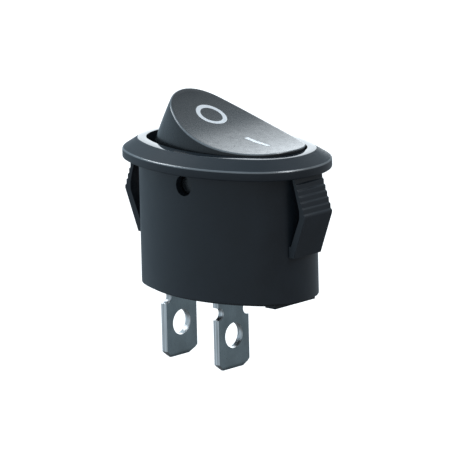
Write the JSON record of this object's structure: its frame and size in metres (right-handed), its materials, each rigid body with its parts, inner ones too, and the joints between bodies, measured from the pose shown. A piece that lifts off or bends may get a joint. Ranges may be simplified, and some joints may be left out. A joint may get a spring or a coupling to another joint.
{
  "type": "panel rocker switch",
  "caption": "Oval snap-in panel rocker switch: a tilting rocker in a bezelled tube with side latches closes a see-saw contact between blade terminals.",
  "frame": {"origin": "centre of the panel cut-out, in the plane of the bezel's underside, which lies on the panel", "axes": "+X along the bezel towards the I end, +Y across it, +Z out of the panel"},
  "size_m": [0.0264, 0.0174, 0.0302],
  "materials": {
    "housing_plastic": "black nylon, satin, with a polished land round the opening",
    "rocker_plastic": "black nylon, satin",
    "mark_white": "white infill",
    "base_plastic": "black nylon, matt",
    "terminal_metal": "tin-plated brass, blanked",
    "contact_metal": "silver alloy, turned",
    "arm_metal": "copper alloy strip",
    "plunger_plastic": "natural plastic",
    "spring_steel": "drawn wire"
  },
  "bodies": {
    "case": {"housing": "housing_plastic", "base": "base_plastic", "common_terminal": "terminal_metal", "contact_terminal": "terminal_metal", "fixed_contact": "contact_metal"},
    "rocker": {"rocker": "rocker_plastic", "o_mark": "mark_white", "i_mark": "mark_white", "plunger_spring": "spring_steel"},
    "plunger": {"plunger": "plunger_plastic"},
    "see_saw": {"contact_arm": "arm_metal", "moving_contact": "contact_metal"}
  },
  "joints": [
    {"name": "rocker_hinge", "type": "hinge", "parent": "case", "child": "rocker", "pos_m": [0, 0, -0.0015], "axis": [0, -1, 0], "range_deg": [0, 32]},
    {"name": "see_saw_hinge", "type": "hinge", "parent": "case", "child": "see_saw", "pos_m": [0, 0, -0.01069], "axis": [0, -1, 0], "range_deg": [-14, 0]},
    {"name": "plunger_slide", "type": "slide", "parent": "rocker", "child": "plunger", "axis": [0.2756, 0, 0.9613], "range_m": [0, 0.0008], "stiffness_N_per_m": 300, "springref_m": -0.003, "deforming": ["plunger_spring"]}
  ],
  "couplings": [
    {"joint": "see_saw_hinge", "follows": "rocker_hinge", "ratio": -0.4375}
  ]
}
